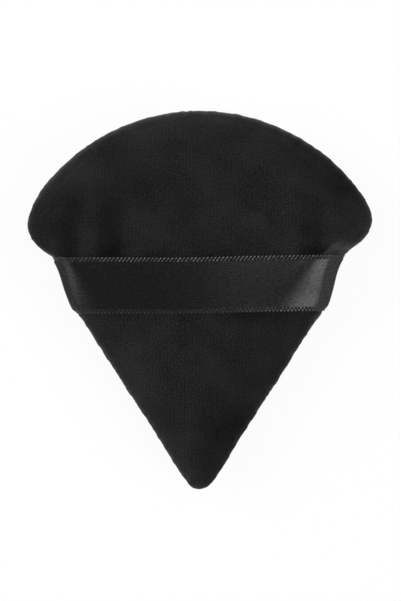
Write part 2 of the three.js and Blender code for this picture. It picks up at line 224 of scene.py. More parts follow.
def corner_fold(x, y):
    """1 on the plump fold of velour beside the ribbon's right end, and 0 away from it."""
    along = CORNER_FOLD[1] - CORNER_FOLD[0]
    from_x, from_y = x - CORNER_FOLD[0, 0], y - CORNER_FOLD[0, 1]
    past = (from_x * along[1] - from_y * along[0]) / np.linalg.norm(along)
    share = ramp(past, *CORNER_FOLD_RISE) * fade(past, *CORNER_FOLD_FALL)
    return share * ramp(y, *CORNER_FOLD_FOOT) * fade(y, *CORNER_FOLD_TOP)


def crease(x, y):
    """1 in the short curved crease right of the middle, and 0 away from it."""
    along = CREASE[1] - CREASE[0]
    from_x, from_y = x - CREASE[0, 0], y - CREASE[0, 1]
    share = (from_x * along[0] + from_y * along[1]) / (along @ along)
    bend = CREASE_BEND * np.sin(math.pi * np.clip(share, 0, 1))
    off = (from_y * along[0] - from_x * along[1]) / np.linalg.norm(along) - bend
    return hump(off, 0, CREASE_REACH) * hump(share, 0.5, CREASE_FADE)


def front_folds(x, y):
    rise = np.zeros_like(x)
    for middle, reach, height, top in FRONT_FOLDS:
        window = ramp(y, RIBBON_HIGH - 3 * FOLD_FOOT, RIBBON_HIGH + FOLD_FOOT)
        window = window * fade(y, top - FOLD_FADE, top)
        rise += height * hump(x, middle, reach) * window
    return rise + CORNER_FOLD_HEIGHT * corner_fold(x, y) - CREASE_DEPTH * crease(x, y)


def front_rise(base, depth, share, y):
    return base + (FRONT_CROWN - depth - base) * crown(share) * (1 - CHANNEL_SHARE * channel(y))


def seam_gap(y):
    """Half the gap between the two faces, wider where the ribbon goes in."""
    inside = ramp(y, RIBBON_LOW - 2 * POCKET_MARGIN, RIBBON_LOW - POCKET_MARGIN)
    inside = inside * fade(y, RIBBON_HIGH + POCKET_MARGIN, RIBBON_HIGH + 2 * POCKET_MARGIN)
    return SEAM_GAP + RIBBON_POCKET * inside


def mesh_piece(name, points, faces, flat=None):
    """A smooth-shaded object from points and faces, with its flat pattern in metres as the UV map."""
    mesh = bpy.data.meshes.new(name)
    mesh.from_pydata(points.tolist(), [], faces)
    if flat is not None:
        corners = np.zeros(len(mesh.loops), int)
        mesh.loops.foreach_get("vertex_index", corners)
        mesh.uv_layers.new(name="pattern").uv.foreach_set("vector", flat[corners].astype(np.float32).ravel())
    mesh.shade_smooth()
    piece = bpy.data.objects.new(name, mesh)
    bpy.context.scene.collection.objects.link(piece)
    return piece


def ring_faces(sizes):
    """Faces of a stack of rings that starts and ends with one point."""
    starts = np.concatenate([[0], np.cumsum(sizes)])
    faces = []
    for k in range(len(sizes) - 1):
        low, high = sizes[k], sizes[k + 1]
        count = max(low, high)
        for i in range(count):
            j = (i + 1) % count
            corners = [starts[k] + i % low, starts[k] + j % low]
            corners += [starts[k + 1] + j % high, starts[k + 1] + i % high]
            faces.append(tuple(int(c) for c in dict.fromkeys(corners)))
    return faces


def face_rings(side, height, count, rings):
    """Outer surface of a face as rings of points, from the middle of the crown out to the seam."""
    edge = outline(0, count)
    turn = np.linspace(math.pi / 2, 0, rings + 1)[1:]
    share = (np.cos(turn) ** (2 / CROWN_FULLNESS))[:, None] * np.ones(count)
    place = CROWN_MIDDLE + share[..., None] * (edge - CROWN_MIDDLE)
    rise = height(SEAM_GAP + EDGE_ROLL, 0, share, place[..., 1])
    return np.dstack([place, SEAM + side * rise]), share


# The filled cover as it settles: a sewn cushion of both faces, ten times larger for the
# cloth solver. Its cloth is cut with straight sides, and the ribbon draws them in.
BACK_CROWN = SEAM + 1.6 * MM
BACK_ROUNDING = 0.8 * MM
FORM_SCALE = 10
FORM_POINTS, FORM_RINGS = 144, 30
FORM_VOXEL = 1.3 * MM
FORM_PIN_REACH = 1.6 * MM
FORM_FRAMES, FORM_QUALITY = 20, 6
FORM_PRESSURE = 2.5
FIELD_STEP = 0.5 * MM
FIELD_CELLS = 176
FIELD_SPREAD = 1.1 * MM
LEAST_WEIGHT = 1e-9
MOST_SWELL = 0.6 * MM


def back_rise(base, depth, share, y):
    return soft_min(base + (BACK_CROWN - depth - base) * crown(share), SEAM - depth, BACK_ROUNDING)


def settled_cloth():
    """Start and settled places of the points of the filled cover, at its real size."""
    front, _ = face_rings(1, front_rise, FORM_POINTS, FORM_RINGS)
    back, _ = face_rings(-1, back_rise, FORM_POINTS, FORM_RINGS)
    rings = [front[0].mean(0, keepdims=True), *front, *back[::-1], back[0].mean(0, keepdims=True)]
    points = np.concatenate(rings) * FORM_SCALE
    form = mesh_piece("cover_form", points, ring_faces([len(ring) for ring in rings]))
    even = form.modifiers.new("even", "REMESH")
    even.mode = "VOXEL"
    even.voxel_size = FORM_VOXEL * FORM_SCALE
    graph = bpy.context.evaluated_depsgraph_get()
    form.data = bpy.data.meshes.new_from_object(form.evaluated_get(graph))
    form.modifiers.clear()
    start = np.array([v.co for v in form.data.vertices]) / FORM_SCALE

    cut = start * FORM_SCALE
    for side, mine in (("left", start[:, 0] < 0), ("right", start[:, 0] >= 0)):
        y = start[mine, 1]
        cut[mine, 0] *= 1 + waist(y, side) / np.maximum(half_width(0, y, side), LEAST_RADIUS)
    form.shape_key_add(name="Basis")
    cut_key = form.shape_key_add(name="cut")
    cut_key.data.foreach_set("co", cut.ravel())
    seam = form.vertex_groups.new(name="seam")
    near = fade(np.abs(start[:, 2] - SEAM), FORM_PIN_REACH / 2, FORM_PIN_REACH)
    for index in np.flatnonzero(near):
        seam.add([int(index)], float(near[index]), "REPLACE")

    cloth = form.modifiers.new("cloth", "CLOTH")
    cloth.settings.quality = FORM_QUALITY
    cloth.settings.vertex_group_mass = "seam"
    cloth.settings.rest_shape_key = cut_key
    cloth.settings.use_pressure = True
    cloth.settings.uniform_pressure_force = FORM_PRESSURE
    cloth.settings.effector_weights.gravity = 0
    cloth.point_cache.frame_end = FORM_FRAMES
    scene = bpy.context.scene
    for step in range(1, FORM_FRAMES + 1):
        scene.frame_set(step)
    graph = bpy.context.evaluated_depsgraph_get()
    settled = np.array([v.co for v in form.evaluated_get(graph).data.vertices]) / FORM_SCALE
    scene.frame_set(1)
    bpy.data.objects.remove(form)
    return start, settled


def spread_field(places, moves):
    """Moves of scattered points, spread over an even grid for look-up at any place."""
    total = np.zeros((FIELD_CELLS, FIELD_CELLS, 3))
    weight = np.zeros((FIELD_CELLS, FIELD_CELLS))
    cell = places[:, :2] / FIELD_STEP + FIELD_CELLS / 2
    nearest = np.round(cell).astype(int)
    reach = round(3 * FIELD_SPREAD / FIELD_STEP)
    for i in range(-reach, reach + 1):
        for j in range(-reach, reach + 1):
            at = np.clip(nearest + [i, j], 0, FIELD_CELLS - 1)
            share = np.exp(-(((at - cell) * FIELD_STEP / FIELD_SPREAD) ** 2).sum(1))
            np.add.at(total, (at[:, 0], at[:, 1]), moves * share[:, None])
            np.add.at(weight, (at[:, 0], at[:, 1]), share)
    return total / np.maximum(weight, LEAST_WEIGHT)[..., None]


def look_up(field, place):
    cell = np.clip(place / FIELD_STEP + FIELD_CELLS / 2, 0, FIELD_CELLS - 2)
    low = np.floor(cell).astype(int)
    across, up = np.moveaxis((cell - low)[..., None], -2, 0)
    i, j = low[..., 0], low[..., 1]
    first = field[i, j] * (1 - across) + field[i + 1, j] * across
    second = field[i, j + 1] * (1 - across) + field[i + 1, j + 1] * across
    return first * (1 - up) + second * up


no_move = np.zeros((FIELD_CELLS, FIELD_CELLS, 3))
swell = {1: no_move, -1: no_move}
start, settled = settled_cloth()
moves = settled - start
length = np.linalg.norm(moves, axis=1, keepdims=True)
moves = moves * MOST_SWELL / np.sqrt(length ** 2 + MOST_SWELL ** 2)
for side in (1, -1):
    mine = side * (start[:, 2] - SEAM) > 0
    swell[side] = spread_field(start[mine], moves[mine])

# Bumps along the sewn edge of a face: their heights, where these change, and the stitch pitch
EDGE_BUMP, ARC_BUMP, TIP_BUMP = 0.11 * MM, 0.085 * MM, 0.05 * MM
ARC_BUMP_FROM, TIP_BUMP_UNDER = (-10 * MM, 10 * MM), (-33 * MM, -27 * MM)
BUMP_BESIDE_RIBBON = (RIBBON_WIDTH / 2 + 0.3 * MM, RIBBON_WIDTH / 2 + 1.2 * MM)
STITCH_PITCH = 0.7 * MM


def edge_bumps(walked, y, seed):
    """Small bumps along the seam, one for each stitch, fainter on the fan arc and at the tip."""
    height = EDGE_BUMP + (ARC_BUMP - EDGE_BUMP) * ramp(y, *ARC_BUMP_FROM)
    height += (TIP_BUMP - EDGE_BUMP) * fade(y, *TIP_BUMP_UNDER)
    beside = ramp(np.abs(y - RIBBON_Y), *BUMP_BESIDE_RIBBON)
    return height * beside * grain(walked, 0 * walked, STITCH_PITCH, seed)


# Painted light and shade on the front face: how much paler or darker it is drawn, by the slope of
# the folds and by where it is: each share, and the stretches over which it comes in or fades out
PAINTED_FOLD_SHADE, PAINTED_SHADE_SLOPE, PAINTED_SHADE_STEP = 0.19, 0.25, 0.3 * MM
PAINTED_CORNER_LIGHT, PAINTED_CREASE_SHADE = 1.0, -0.24
PAINTED_LEFT_SHADE = -0.235
LEFT_START, LEFT_LOBE, LEFT_LOBE_LOSS = (6 * MM, 18 * MM), (21 * MM, 29 * MM), 0.25
LEFT_FOOT = (RIBBON_HIGH - 4 * MM, RIBBON_HIGH + 3 * MM)
LEFT_TOP, LEFT_TOP_LOSS = (19 * MM, 27 * MM), 0.45
PAINTED_ABOVE_LIGHT, PAINTED_BELOW_LIGHT, BESIDE_REACH = 0.22, 0.5, 2.3 * MM
ABOVE_MIDDLE, ABOVE_START = RIBBON_HIGH + 0.8 * MM, (-12 * MM, 4 * MM)
BELOW_MIDDLE, BELOW_END = RIBBON_LOW - 0.5 * MM, (-2 * MM, 12 * MM)
PAINTED_FAN_RIGHT_SHADE, FAN_RIGHT_DEPTH = -0.26, (3.5 * MM, 9 * MM)
FAN_RIGHT_START, FAN_RIGHT_FOOT = (-6 * MM, 22 * MM), (16 * MM, 24 * MM)
PAINTED_FAN_LEFT_LIGHT, FAN_LEFT_DEPTH = 0.2, (0.8 * MM, 1.8 * MM)
FAN_LEFT_START, FAN_LEFT_FOOT = (4 * MM, 16 * MM), (14 * MM, 22 * MM)
PAINTED_LOBE_SHADE, LOBE_START, LOBE_FOOT = -0.08, (24 * MM, 33 * MM), (12 * MM, 15 * MM)
PAINTED_SIDE_SHADE, SIDE_DEPTH = -0.36, (1 * MM, 13 * MM)
SIDE_TOP = (RIBBON_LOW - 14 * MM, RIBBON_LOW - 4 * MM)
SIDE_TIP, SIDE_AT_TIP = (-34 * MM, -20 * MM), 0.35
PAINTED_TURNED_LIGHT, TURNED_DEPTH = 0.5, (0.6 * MM, 1.7 * MM)
TURNED_MIDDLE, TURNED_REACH = RIBBON_LOW - 0.8 * MM, 1.5 * MM
PAINTED_LOW_RIM_SHADE, LOW_RIM_DEPTH, LOW_RIM_TOP = -0.12, (0.3 * MM, 0.9 * MM), (-9 * MM, -6 * MM)
PAINTED_TIP_RIM_SHADE, TIP_RIM_DEPTH, TIP_RIM_TOP = -0.16, (0.6 * MM, 2.2 * MM), (-32 * MM, -28 * MM)
PAINTED_TIP_SHADE, TIP_MIDDLE, TIP_REACH = -0.2, -27.5 * MM, 5 * MM
PAINTED_TIP_SIDE_SHADE, TIP_SIDE_TURN, TIP_SIDE_TOP = -0.16, 2 * MM, (-30 * MM, -22 * MM)
# Patches of painted light and shade: middle, reach and how much paler
PAINTED_SHADE_PATCHES = (
    ((-5 * MM, 20.5 * MM), (6 * MM, 5.5 * MM), -0.17),
    ((-6.5 * MM, -15 * MM), (5 * MM, 8 * MM), 0.12),
    ((24.5 * MM, 23.5 * MM), (6 * MM, 6 * MM), -0.22),
    ((2.5 * MM, -14.5 * MM), (4 * MM, 5 * MM), -0.14),
    ((16 * MM, -6 * MM), (6 * MM, 4 * MM), -0.2),
    ((8 * MM, 20.5 * MM), (5 * MM, 3 * MM), -0.09),
    ((-18.5 * MM, 15.9 * MM), (2.2 * MM, 4 * MM), -0.1),
    ((23.4 * MM, 15.9 * MM), (2.2 * MM, 4 * MM), -0.06),
    ((0, 26.5 * MM), (5 * MM, 6 * MM), -0.06),
    ((13.9 * MM, 27.5 * MM), (5 * MM, 5 * MM), 0.04),
    ((17.2 * MM, 17.4 * MM), (2.2 * MM, 2.4 * MM), 0.11),
    ((4.5 * MM, -34.8 * MM), (3.8 * MM, 4 * MM), -0.24),
)


def front_painted_shading(x, y):
    """Painted light and shade: paler or darker by the slope of the folds, by place and towards the edges."""
    # Painted light and shade on the folds: slopes facing left, towards the key light, are drawn paler, and
    # slopes facing right are drawn darker
    slope = (front_folds(x + PAINTED_SHADE_STEP, y) - front_folds(x - PAINTED_SHADE_STEP, y)) / (2 * PAINTED_SHADE_STEP)
    shade = 1 + PAINTED_FOLD_SHADE * np.tanh(slope / PAINTED_SHADE_SLOPE)
    shade *= (1 + PAINTED_CORNER_LIGHT * corner_fold(x, y)) * (1 + PAINTED_CREASE_SHADE * crease(x, y))

    # Painted shade on the left of the fan, painted light beside the ribbon, and single painted patches
    left = ramp(-x, *LEFT_START) * (1 - LEFT_LOBE_LOSS * ramp(-x, *LEFT_LOBE))
    left *= ramp(y, *LEFT_FOOT) * (1 - LEFT_TOP_LOSS * ramp(y, *LEFT_TOP))
    above = hump(y, ABOVE_MIDDLE, BESIDE_REACH) * ramp(x, *ABOVE_START)
    below = hump(y, BELOW_MIDDLE, BESIDE_REACH) * fade(x, *BELOW_END)
    shade *= (1 + PAINTED_LEFT_SHADE * left) * (1 + PAINTED_ABOVE_LIGHT * above) * (1 + PAINTED_BELOW_LIGHT * below)
    for (middle_x, middle_y), (reach_x, reach_y), paler in PAINTED_SHADE_PATCHES:
        shade *= 1 + paler * hump(x, middle_x, reach_x) * hump(y, middle_y, reach_y)

    # Painted shade towards the fan arc on the right and on the right lobe, painted light towards it on the
    # left
    from_fan = FAN_RADIUS - np.hypot(x, y - PUFF_LENGTH / 2 + FAN_RADIUS)
    fan_right = ramp(x, *FAN_RIGHT_START) * fade(from_fan, *FAN_RIGHT_DEPTH) * ramp(y, *FAN_RIGHT_FOOT)
    fan_left = ramp(-x, *FAN_LEFT_START) * fade(from_fan, *FAN_LEFT_DEPTH) * ramp(y, *FAN_LEFT_FOOT)
    shade *= (1 + PAINTED_FAN_RIGHT_SHADE * fan_right) * (1 + PAINTED_FAN_LEFT_LIGHT * fan_left)
    shade *= 1 + PAINTED_LOBE_SHADE * ramp(x, *LOBE_START) * ramp(y, *LOBE_FOOT)

    # Painted light and shade towards the straight sides, below the ribbon and at the tip
    from_right = (half_width(0, y, "right") - x) * math.cos(SIDE_ANGLE)
    from_left = (half_width(0, y, "left") + x) * math.cos(SIDE_ANGLE)
    rim = np.minimum(from_right, from_left)
    low = fade(y, *SIDE_TOP) * (SIDE_AT_TIP + (1 - SIDE_AT_TIP) * ramp(y, *SIDE_TIP))
    turned = fade(from_right, *TURNED_DEPTH) * hump(y, TURNED_MIDDLE, TURNED_REACH)
    shade *= (1 + PAINTED_SIDE_SHADE * fade(from_right, *SIDE_DEPTH) * low) * (1 + PAINTED_TURNED_LIGHT * turned)
    shade *= 1 + PAINTED_LOW_RIM_SHADE * fade(rim, *LOW_RIM_DEPTH) * fade(y, *LOW_RIM_TOP)
    shade *= 1 + PAINTED_TIP_RIM_SHADE * fade(rim, *TIP_RIM_DEPTH) * fade(y, *TIP_RIM_TOP)
    shade *= 1 + PAINTED_TIP_SHADE * hump(y, TIP_MIDDLE, TIP_REACH)
    return shade * (1 + PAINTED_TIP_SIDE_SHADE * np.tanh(x / TIP_SIDE_TURN) * fade(y, *TIP_SIDE_TOP))


# Share of the way to the seam where folds fade out, bumps come in and the lining is held
FOLD_EDGE, BUMP_EDGE, LINING_EDGE = (0.93, 1), (0.9, 0.99), (0.9, 1)
# Height, pitch and seed step of the unevenness of the pile
PILE_WAVES = ((0.035 * MM, 1.3 * MM, 0), (0.02 * MM, 0.7 * MM, 3))
FRONT_SEED, BUMP_SEED_STEP = 11, 5
SEAM_LENGTH = 235 * MM
GRAIN_SHIFT = 1.0


def velour_face(name, side, height, folds, painted_shading, seed):
    """A face of the cover: crown, rolled edge at the seam, allowance and the bare side of the cloth."""
    outer, share = face_rings(side, height, EDGE_POINTS, FACE_RINGS)
    edge_fade = fade(share, *FOLD_EDGE)
    outer += look_up(swell[side], outer[..., :2]) * edge_fade[..., None]
    outer[..., 2] += side * folds(outer[..., 0], outer[..., 1]) * edge_fade
    # Painted light and shade for each point of the outer surface
    painted_values = painted_shading(outer[..., 0], outer[..., 1])

    # Cloth length along each spoke gives the flat pattern
    middle = outer[0].mean(0)
    spokes = np.concatenate([np.broadcast_to(middle, (1, EDGE_POINTS, 3)), outer])
    walked = np.cumsum(np.linalg.norm(np.diff(spokes, axis=0), axis=2), axis=0)
    ray = outline(0, EDGE_POINTS) - CROWN_MIDDLE
    ray /= np.linalg.norm(ray, axis=1, keepdims=True)

    round_edge = np.linspace(0, 1, EDGE_POINTS + 1)[:-1] * SEAM_LENGTH
    flat_x, flat_y = walked * ray[:, 0] + GRAIN_SHIFT, walked * ray[:, 1] + GRAIN_SHIFT
    lift = sum(rise * grain(flat_x, flat_y, pitch, seed + step) for rise, pitch, step in PILE_WAVES)
    lift += edge_bumps(round_edge, outer[..., 1], seed + BUMP_SEED_STEP) * ramp(share, *BUMP_EDGE)
    out = np.cross(np.roll(outer, -1, 1) - np.roll(outer, 1, 1), np.gradient(outer, axis=0))
    out *= np.sign(out[..., 2:].mean()) * side / np.linalg.norm(out, axis=2, keepdims=True)
    outer += out * lift[..., None]
    outer[..., 2] = np.maximum(outer[..., 2], 0)

    rings = [np.maximum(middle, [-1, -1, 0])[None], *outer]
    flats = [np.zeros((1, 2)), *(walked[..., None] * ray)]
    far = walked[-1]

    def add_ring(inset, rise, past):
        place = outline(inset, EDGE_POINTS)
        z = SEAM + side * (rise(place[:, 1]) if callable(rise) else rise) * np.ones(EDGE_POINTS)
        rings.append(np.column_stack([place, z]))
        flats.append((far + past)[:, None] * ray)

    for turn in np.linspace(0, math.pi / 2, ROLL_STEPS + 1)[1:]:
        drop = EDGE_ROLL * (1 - math.sin(turn))
        add_ring(EDGE_ROLL * (1 - math.cos(turn)), lambda y: seam_gap(y) + drop, EDGE_ROLL * turn)
    add_ring(ALLOWANCE_INSET, seam_gap, ALLOWANCE_INSET)
    add_ring(ALLOWANCE_INSET, ALLOWANCE_TOP, ALLOWANCE_INSET + CLOTH)
    add_ring(CLOTH, ALLOWANCE_TOP, 2 * ALLOWANCE_INSET)
    lining_edge = outline(CLOTH, EDGE_POINTS)
    for lining_share in LINING_SHARES:
        place = CROWN_MIDDLE + lining_share * (lining_edge - CROWN_MIDDLE)
        at_share = np.full(EDGE_POINTS, lining_share)
        rise = height(ALLOWANCE_TOP, CLOTH, at_share, place[:, 1])
        ring = np.column_stack([place, SEAM + side * rise])
        ring += look_up(swell[side], place) * fade(lining_share, *LINING_EDGE)
        ring[:, 2] += side * folds(place[:, 0], place[:, 1])
        ring[:, 2] = np.maximum(ring[:, 2], CLOTH)
        rings.append(ring)
        flats.append((far * (1 + lining_share))[:, None] * ray)
    rings.append(rings[-1].mean(0, keepdims=True))
    flats.append(np.zeros((1, 2)))

    faces = ring_faces([len(ring) for ring in rings])
    if side < 0:
        faces = [face[::-1] for face in faces]
    face = mesh_piece(name, np.concatenate(rings), faces, np.concatenate(flats))
    # Painted light and shade kept as a point attribute, 1 where nothing is painted
    shade = np.ones(len(face.data.vertices))
    shade[1:1 + painted_values.size] = painted_values.ravel()
    face.data.attributes.new("painted_shading", "FLOAT", "POINT").data.foreach_set("value", shade)
    return face


def new_material(name):
    material = bpy.data.materials.new(name)
    material.use_nodes = True
    tree = material.node_tree
    return material, tree, tree.nodes["Principled BSDF"]


def add_node(tree, kind, links=(), **values):
    """A shader node with its settings and socket values, and links from other sockets to its inputs."""
    node = tree.nodes.new(kind)
    for key, value in values.items():
        if hasattr(node, key):
            setattr(node, key, value)
        else:
            node.inputs[key.replace("_", " ")].default_value = value
    for socket, source in links:
        tree.links.new(source, node.inputs[socket])
    return node


def noise(tree, place, **values):
    return add_node(tree, "ShaderNodeTexNoise", [("Vector", place)], **values).outputs["Fac"]


def bands(tree, place, direction, **values):
    wave = add_node(
        tree, "ShaderNodeTexWave", [("Vector", place)], wave_type="BANDS", bands_direction=direction, **values
    )
    return wave.outputs["Fac"]


def blended(tree, first, second, share):
    """Two heights or tones in one, with the given share of the second."""
    mix = add_node(tree, "ShaderNodeMix", [("A", first), ("B", second)])
    mix.inputs["Factor"].default_value = share
    return mix.outputs["Result"]


def toned(tree, height, *stops):
    """Turns heights into grey or coloured tones between the given stops."""
    node = add_node(tree, "ShaderNodeValToRGB", [("Fac", height)])
    for point, (place, tone) in zip(node.color_ramp.elements, stops):
        point.position = place
        point.color = (*(tone if isinstance(tone, tuple) else (tone,) * 3), 1)
    return node.outputs["Color"]


def greyed(tree, colour, share, grey):
    """A colour that turns to one plain grey as the share goes to 1."""
    mix = add_node(tree, "ShaderNodeMix", data_type="RGBA")
    colour_in, grey_in, colour_out = mix.inputs[6], mix.inputs[7], mix.outputs[2]
    tree.links.new(share, mix.inputs["Factor"])
    tree.links.new(colour, colour_in)
    grey_in.default_value = (grey, grey, grey, 1)
    return colour_out


def add_bump(tree, shader, height, strength, distance):
    bump = add_node(tree, "ShaderNodeBump", [("Height", height)], Strength=strength, Distance=distance)
    tree.links.new(bump.outputs["Normal"], shader.inputs["Normal"])


# Velour finish: textures by their scale per metre, and the share that each one has. Straight
# bands of scale 1 turn by 20 radians over a metre, and slanting ones by 10.
VELOUR_RIB_SCALE = 2 * math.pi / 20 / (0.75 * MM)
CLUMP_SCALE, PILE_SCALE, PATCH_SCALE, LINT_SCALE = 2500, 4600, 90, 110
CLUMP_SHARE, PILE_SHARE, PATCH_SHARE = 0.935, 0.35, 0.25
VELOUR_TONES = ((0.405, 0.0002), (0.595, 0.0171))
LINT_TONES, LINT_GREY = ((0.012, 1), (0.03, 0)), 0.05
VELOUR_BUMP, VELOUR_BUMP_HEIGHT = 0.55, 0.12 * MM
VELOUR_SHINE, VELOUR_SHEEN = 0.15, 0.255
VELOUR_ROUGHNESS, SHEEN_ROUGHNESS = 0.95, 0.42
SHEEN_TINT = (0.9, 0.9, 0.92, 1)


def velour_material():
    """Short black pile on faint knitted ribs, with shaded clumps, a few pale specks of lint, and painted
    light and shade.
    """
    material, tree, shader = new_material("velour")
    pattern = add_node(tree, "ShaderNodeUVMap", uv_map="pattern").outputs["UV"]
    rib = bands(
        tree, pattern, "X", Scale=VELOUR_RIB_SCALE, Distortion=2.2, Detail=2, Detail_Scale=2.5
    )
    clump = noise(tree, pattern, Scale=CLUMP_SCALE, Detail=3, Roughness=0.6)
    pile = noise(tree, pattern, Scale=PILE_SCALE, Detail=2, Roughness=0.7)
    patch = noise(tree, pattern, Scale=PATCH_SCALE, Detail=3)
    speck = add_node(
        tree, "ShaderNodeTexVoronoi", [("Vector", pattern)], feature="F1", Scale=LINT_SCALE, Randomness=1
    )
    mottle = blended(tree, blended(tree, rib, clump, CLUMP_SHARE), pile, PILE_SHARE)
    tone = toned(tree, blended(tree, mottle, patch, PATCH_SHARE), *VELOUR_TONES)
    lint = toned(tree, speck.outputs["Distance"], *LINT_TONES)
    # Painted light and shade from the point attribute scales the colour, the shine and the sheen
    painted_shading = add_node(tree, "ShaderNodeAttribute", attribute_name="painted_shading").outputs["Fac"]
    shaded = add_node(
        tree, "ShaderNodeVectorMath", [(0, greyed(tree, tone, lint, LINT_GREY)), ("Scale", painted_shading)],
        operation="SCALE",
    )
    tree.links.new(shaded.outputs["Vector"], shader.inputs["Base Color"])
    add_bump(tree, shader, mottle, VELOUR_BUMP, VELOUR_BUMP_HEIGHT)
    shader.inputs["Roughness"].default_value = VELOUR_ROUGHNESS
    for socket, level in (("Specular IOR Level", VELOUR_SHINE), ("Sheen Weight", VELOUR_SHEEN)):
        scaled = add_node(tree, "ShaderNodeMath", [(0, painted_shading)], operation="MULTIPLY")
        scaled.inputs[1].default_value = level
        tree.links.new(scaled.outputs[0], shader.inputs[socket])
    shader.inputs["Sheen Roughness"].default_value = SHEEN_ROUGHNESS
    shader.inputs["Sheen Tint"].default_value = SHEEN_TINT
    return material


velour = velour_material()
front_velour = velour_face("front_velour", 1, front_rise, front_folds, front_painted_shading, FRONT_SEED)
front_velour.data.materials.append(velour)
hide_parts("front_panel")
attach(front_velour, "puff")

# Back face of the puff: the same cut of velour, the face that takes the powder. The puff rests
# on it, so it gives flat in the middle and stays round towards the seam.
BACK_SEED = 41


def no_folds(x, y):
    return np.zeros_like(x)


# No painted light or shade on the back face
def no_painted_shading(x, y):
    return np.ones_like(x)


back_velour = velour_face("back_velour", -1, back_rise, no_folds, no_painted_shading, BACK_SEED)
back_velour.data.materials.append(velour)
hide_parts("back_panel")
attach(back_velour, "puff")

# Filling: a pad of white carded polyester fibre, pushed in through the gap in the seam. It
# fills both faces and leaves a groove where their allowances lie.
FILLING_EASE = 0.4 * MM
FILLING_BASE = 1.65 * MM
FILLING_POINTS = 288
FILLING_SHARES = np.linspace(0.06, 0.97, 30)
TUFT_HEIGHT, TUFT_BASE = 0.12 * MM, 1.5
# Share, pitch and seed of the tufts of fibre
TUFTS = ((1, 1.7 * MM, 71), (0.5, 0.6 * MM, 72))
FIBRE_SCALE = 500
FIBRE_TONES = ((0.3, (0.72, 0.71, 0.67)), (0.7, (0.9, 0.89, 0.86)))
FIBRE_BUMP, FIBRE_BUMP_HEIGHT = 0.8, 0.3 * MM
FIBRE_ROUGHNESS, FIBRE_SHEEN = 0.95, 0.3


def fibre_pad():
    edge = outline(CLOTH, FILLING_POINTS)
    groove = outline(ALLOWANCE_INSET + 2 * SEAM_GAP, FILLING_POINTS)

    def half(side, height, folds):
        rings = []
        for share in FILLING_SHARES:
            place = CROWN_MIDDLE + share * (edge - CROWN_MIDDLE)
            rise = height(ALLOWANCE_TOP, CLOTH, np.full(FILLING_POINTS, share), place[:, 1])
            rise = rise + folds(place[:, 0], place[:, 1])
            at = place + GRAIN_SHIFT
            tuft = sum(part * grain(at[:, 0], at[:, 1], pitch, seed) for part, pitch, seed in TUFTS)
            rise = rise - FILLING_EASE - TUFT_HEIGHT * (TUFT_BASE + tuft)
            ring = np.column_stack([place, SEAM + side * np.maximum(rise, FILLING_BASE)])
            ring = ring + look_up(swell[side], place) * fade(share, *LINING_EDGE)
            ring[:, 2] = np.maximum(ring[:, 2], CLOTH + FILLING_EASE)
            rings.append(ring)
        rings.append(np.column_stack([groove, np.full(FILLING_POINTS, SEAM + side * FILLING_BASE)]))
        return [rings[0].mean(0, keepdims=True), *rings]

    rings = half(1, front_rise, front_folds) + half(-1, back_rise, no_folds)[::-1]
    faces = ring_faces([len(ring) for ring in rings])
    points = np.concatenate(rings)
    return mesh_piece("fibre_pad", points, faces, points[:, :2])


def fibre_material():
    """White carded fibre: fine curled strands that lie every way."""
    material, tree, shader = new_material("fibre")
    pattern = add_node(tree, "ShaderNodeUVMap", uv_map="pattern").outputs["UV"]
    curl = noise(tree, pattern, Scale=FIBRE_SCALE, Detail=6, Distortion=3)
    tree.links.new(toned(tree, curl, *FIBRE_TONES), shader.inputs["Base Color"])
    add_bump(tree, shader, curl, FIBRE_BUMP, FIBRE_BUMP_HEIGHT)
    shader.inputs["Roughness"].default_value = FIBRE_ROUGHNESS
    shader.inputs["Sheen Weight"].default_value = FIBRE_SHEEN
    return material


filling = fibre_pad()
filling.data.materials.append(fibre_material())
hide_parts("filling")
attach(filling, "puff")

# Ribbon: one length of black satin ribbon with woven edges, laid over the front as a finger
# strap. Both ends go into the side seams, and the band bends where it leaves them.
RIBBON_TOP = band_high.z
RIBBON_BOW = 0.6 * MM
RIBBON_CROWN, CROWN_START = 0.12 * MM, (SEAM + 4 * MM, SEAM + 8 * MM)
RIBBON_CLOTH = 0.24 * MM
RIBBON_LEAN = math.tan(math.radians(0.9))
RIBBON_SAG, SAG_MIDDLE, SAG_REACH = 0.26 * MM, -3 * MM, 13 * MM
EDGE_DRAW = 0.24 * MM
TUCK, TUCK_HEIGHT = 0.6 * MM, 1.2 * MM
FLARE, FLARE_ABOVE, FLARE_REACH = 0.15 * MM, 1.5 * MM, 1.6 * MM
# The legs and shoulders by side, each at the upper and the lower edge of the ribbon
LEG_CLEARANCE = {"left": (0.75 * MM, 0.25 * MM), "right": (0.2 * MM, 0.32 * MM)}
TUCKED_CLEARANCE = {"left": (0.6 * MM, 0.2 * MM), "right": (0.2 * MM, 0.45 * MM)}
LEG_TOP = {"left": (SEAM + 9.2 * MM, SEAM + 8.72 * MM), "right": (SEAM + 7.15 * MM, SEAM + 5 * MM)}
SHOULDER_REACH = {"left": (1.75 * MM, 4.5 * MM), "right": (3.5 * MM, 8.2 * MM)}
SHOULDER_RADIUS = {"left": (5.4 * MM, 25 * MM), "right": (13 * MM, 33 * MM)}
SHOULDER_SLOPE = {"left": np.radians([20, 13.5]), "right": np.radians([26, 26])}
LEG_REACH = {"left": (1.6 * MM, 1.6 * MM), "right": (2.95 * MM, 2.75 * MM)}
BEND_RADIUS = {"left": (2.6 * MM, 2.6 * MM), "right": (5.4 * MM, 8.8 * MM)}
LEG_RADII = (0.6 * MM, 0.5 * MM)
ARC_STEPS, LINE_STEPS = 24, 900
